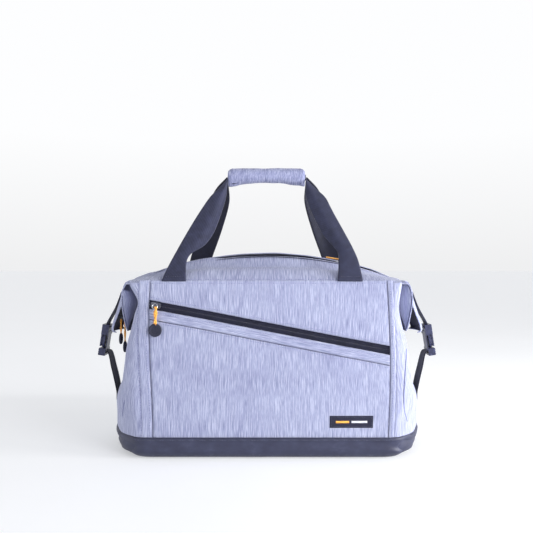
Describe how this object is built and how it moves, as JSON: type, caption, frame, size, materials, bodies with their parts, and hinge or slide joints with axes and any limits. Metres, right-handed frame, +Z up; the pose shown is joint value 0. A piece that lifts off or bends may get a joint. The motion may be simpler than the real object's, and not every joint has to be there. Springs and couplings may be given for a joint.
{
  "type": "flight bag",
  "caption": "Gable-top cabin flight bag with a slanting zipped front pocket, fold-down buckled end flaps, coated base and webbing handles joined by a padded grip.",
  "frame": {"origin": "on the floor, under the middle of the bag", "axes": "+X to the right seen from the front, -Y out of the front pocket, +Z up"},
  "size_m": [0.597, 0.22, 0.488],
  "materials": {
    "fabric": "woven melange",
    "grip_fabric": "woven melange, padded",
    "base_coated": "coated, leather-like grain",
    "board": "plain sheet",
    "foam": "closed-cell foam",
    "lining": "plain weave",
    "zip_tape": "woven tape",
    "zip_coil": "nylon coil",
    "webbing": "ribbed polyester webbing",
    "buckle": "moulded acetal",
    "zip_metal": "satin nickel",
    "cord_amber": "braided cord",
    "disc": "moulded",
    "label": "woven label"
  },
  "bodies": {
    "root": {"base_tray": "base_coated", "base_board": "board", "base_foam": "foam", "lining": "lining", "rear_panel": "fabric", "left_gusset": "fabric", "right_gusset": "fabric", "front_side_strip_left": "fabric", "front_side_strip_right": "fabric", "front_panel_upper": "fabric", "front_panel_lower": "fabric", "front_zip_facing": "fabric", "front_zip_tape": "zip_tape", "front_zip_coil": "zip_coil", "front_pocket_bag": "lining", "front_label": "label", "left_lower_strap": "webbing", "right_lower_strap": "webbing", "left_strap_anchor": "webbing", "right_strap_anchor": "webbing"},
    "front_handle": {"front_handle_webbing": "webbing", "grip_wrap": "grip_fabric"},
    "rear_handle": {"rear_handle_webbing": "webbing"},
    "grip_flap": {"grip_wrap_flap": "grip_fabric", "grip_hook_strip": "webbing"},
    "front_top": {"front_roof_panel": "fabric", "main_zip_tape_front": "zip_tape", "main_zip_teeth_front": "zip_coil"},
    "rear_top": {"rear_roof_panel": "fabric", "storm_flap": "fabric", "main_zip_tape_rear": "zip_tape", "main_zip_teeth_rear": "zip_coil"},
    "main_slider": {"main_slider": "zip_metal", "main_slider_cord": "cord_amber"},
    "main_pull": {"main_pull_ring": "zip_metal"},
    "front_slider": {"front_slider": "zip_metal"},
    "front_pull": {"front_pull_bail": "zip_metal", "front_pull_cord": "cord_amber", "front_pull_disc": "disc"},
    "left_outer_pull": {"left_outer_pull_cord": "cord_amber", "left_outer_pull_disc": "disc"},
    "left_inner_pull": {"left_inner_pull_cord": "cord_amber", "left_inner_pull_disc": "disc"},
    "left_ear": {"left_ear_flap": "fabric", "left_ear_zip": "zip_tape", "left_upper_strap": "webbing", "left_socket": "buckle", "left_end_slider": "zip_metal"},
    "left_clip": {"left_clip": "buckle"},
    "left_prong_front": {"left_prong_front": "buckle"},
    "left_prong_rear": {"left_prong_rear": "buckle"},
    "right_ear": {"right_ear_flap": "fabric", "right_ear_zip": "zip_tape", "right_upper_strap": "webbing", "right_socket": "buckle"},
    "right_clip": {"right_clip": "buckle"},
    "right_prong_front": {"right_prong_front": "buckle"},
    "right_prong_rear": {"right_prong_rear": "buckle"}
  },
  "joints": [
    {"name": "front_handle_swing", "type": "hinge", "parent": "root", "child": "front_handle", "pos_m": [0, -0.101, 0.287], "axis": [1, 0, 0], "range_deg": [0, 185]},
    {"name": "rear_handle_swing", "type": "hinge", "parent": "root", "child": "rear_handle", "pos_m": [0, 0.101, 0.287], "axis": [-1, 0, 0], "range_deg": [0, 185]},
    {"name": "grip_wrap_open", "type": "hinge", "parent": "front_handle", "child": "grip_flap", "pos_m": [0, 0, 0.488], "axis": [1, 0, 0], "range_deg": [0, 150], "deforming": ["grip_wrap_flap", "grip_hook_strip"]},
    {"name": "front_top_open", "type": "hinge", "parent": "root", "child": "front_top", "pos_m": [0, -0.0975, 0.2862], "axis": [1, 0, 0], "range_deg": [0, 24]},
    {"name": "rear_top_open", "type": "hinge", "parent": "root", "child": "rear_top", "pos_m": [0, 0.0975, 0.2862], "axis": [-1, 0, 0], "range_deg": [0, 24]},
    {"name": "main_zip_travel", "type": "hinge", "parent": "front_top", "child": "main_slider", "pos_m": [0, 0, -0.2936], "axis": [0, -1, 0], "range_deg": [0, 29.5]},
    {"name": "main_pull_flip", "type": "hinge", "parent": "main_slider", "child": "main_pull", "pos_m": [0.1259, -0.008, 0.31961], "axis": [-0.9796, 0, 0.2011], "range_deg": [0, 60]},
    {"name": "front_zip_slide", "type": "slide", "parent": "root", "child": "front_slider", "axis": [0.9816, -0.0076, -0.1907], "range_m": [0, 0.355]},
    {"name": "front_pull_swing", "type": "hinge", "parent": "front_slider", "child": "front_pull", "pos_m": [-0.181, -0.09945, 0.24781], "axis": [0, -0.9992, 0.04], "range_deg": [-60, 60]},
    {"name": "left_ear_lift", "type": "hinge", "parent": "root", "child": "left_ear", "pos_m": [-0.232, 0, 0.287], "axis": [0, 1, 0], "range_deg": [0, 85]},
    {"name": "left_clip_release", "type": "slide", "parent": "root", "child": "left_clip", "axis": [-0.1564, 0, -0.9877], "range_m": [0, 0.028], "deforming": ["left_lower_strap"]},
    {"name": "left_prong_front_press", "type": "hinge", "parent": "left_clip", "child": "left_prong_front", "pos_m": [-0.29049, -0.0065, 0.16733], "axis": [-0.9877, 0, 0.1564], "range_deg": [0, 7], "stiffness_Nm_per_rad": 0.3},
    {"name": "left_prong_rear_press", "type": "hinge", "parent": "left_clip", "child": "left_prong_rear", "pos_m": [-0.29049, 0.0065, 0.16733], "axis": [0.9877, 0, -0.1564], "range_deg": [0, 7], "stiffness_Nm_per_rad": 0.3},
    {"name": "right_ear_lift", "type": "hinge", "parent": "root", "child": "right_ear", "pos_m": [0.232, 0, 0.287], "axis": [0, -1, 0], "range_deg": [0, 85]},
    {"name": "right_clip_release", "type": "slide", "parent": "root", "child": "right_clip", "axis": [0.1564, 0, -0.9877], "range_m": [0, 0.028], "deforming": ["right_lower_strap"]},
    {"name": "right_prong_front_press", "type": "hinge", "parent": "right_clip", "child": "right_prong_front", "pos_m": [0.29049, -0.0065, 0.16733], "axis": [-0.9877, 0, -0.1564], "range_deg": [0, 7], "stiffness_Nm_per_rad": 0.3},
    {"name": "right_prong_rear_press", "type": "hinge", "parent": "right_clip", "child": "right_prong_rear", "pos_m": [0.29049, 0.0065, 0.16733], "axis": [0.9877, 0, 0.1564], "range_deg": [0, 7], "stiffness_Nm_per_rad": 0.3},
    {"name": "left_outer_pull_swing", "type": "hinge", "parent": "left_ear", "child": "left_outer_pull", "pos_m": [-0.2545, -0.028, 0.219], "axis": [0, 1, 0], "range_deg": [-9, 9]},
    {"name": "left_inner_pull_swing", "type": "hinge", "parent": "left_ear", "child": "left_inner_pull", "pos_m": [-0.2475, -0.028, 0.219], "axis": [0, 1, 0], "range_deg": [-9, 9]}
  ],
  "couplings": [
    {"joint": "rear_handle_swing", "follows": "front_handle_swing", "ratio": 1},
    {"joint": "grip_wrap_open", "follows": "front_handle_swing", "ratio": 0.8},
    {"joint": "rear_top_open", "follows": "front_top_open", "ratio": 1},
    {"joint": "main_zip_travel", "follows": "front_top_open", "ratio": 1.22},
    {"joint": "left_inner_pull_swing", "follows": "left_outer_pull_swing", "ratio": 1}
  ]
}
